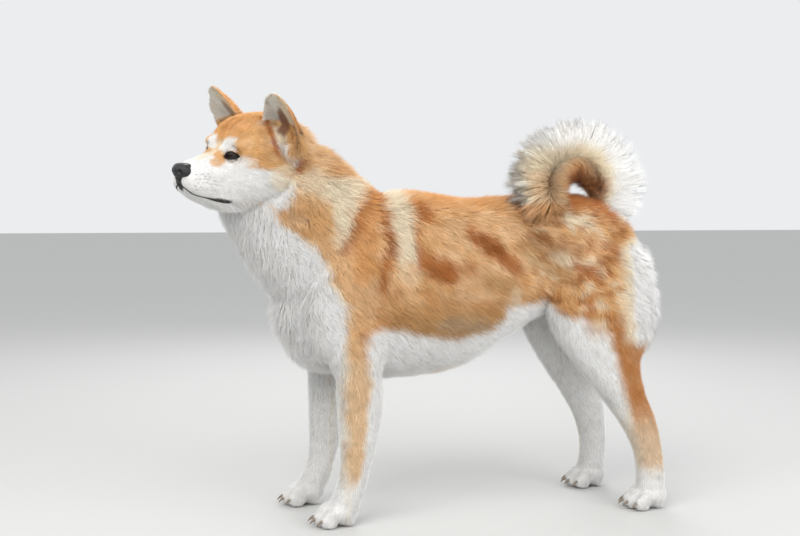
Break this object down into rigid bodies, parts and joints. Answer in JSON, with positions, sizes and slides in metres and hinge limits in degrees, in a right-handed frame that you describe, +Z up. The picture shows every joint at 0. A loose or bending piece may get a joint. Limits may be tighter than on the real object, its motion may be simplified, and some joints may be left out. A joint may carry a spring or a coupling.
{
  "type": "akita dog",
  "caption": "Life-size model of a standing Akita dog, head turned a little, pricked ears and a bushy tail curled over its back.",
  "frame": {"origin": "on the floor, below the middle of the dog's bounding box", "axes": "+Z up from the floor, -X the way the body faces, +X towards the tail, -Y the dog's own left side, to which the head is turned"},
  "size_m": [1.0088, 0.2858, 0.8726],
  "materials": {
    "red_coat": "dense double coat",
    "white_coat": "dense double coat",
    "nose_leather": "moist pebbled skin",
    "eye": "polished, opaque"
  },
  "bodies": {
    "root": {"head": "red_coat", "ear_left": "red_coat", "ear_right": "red_coat", "eye_left": "eye", "eye_right": "eye", "nose": "nose_leather", "neck": "red_coat", "chest": "red_coat", "rump": "red_coat", "foreleg_left": "white_coat", "foreleg_right": "white_coat", "forepaw_left": "white_coat", "forepaw_right": "white_coat", "hindleg_left": "white_coat", "hindleg_right": "white_coat", "hindpaw_left": "white_coat", "hindpaw_right": "white_coat", "tail_root": "white_coat", "tail_middle": "white_coat", "tail_tip": "white_coat"}
  },
  "joints": []
}
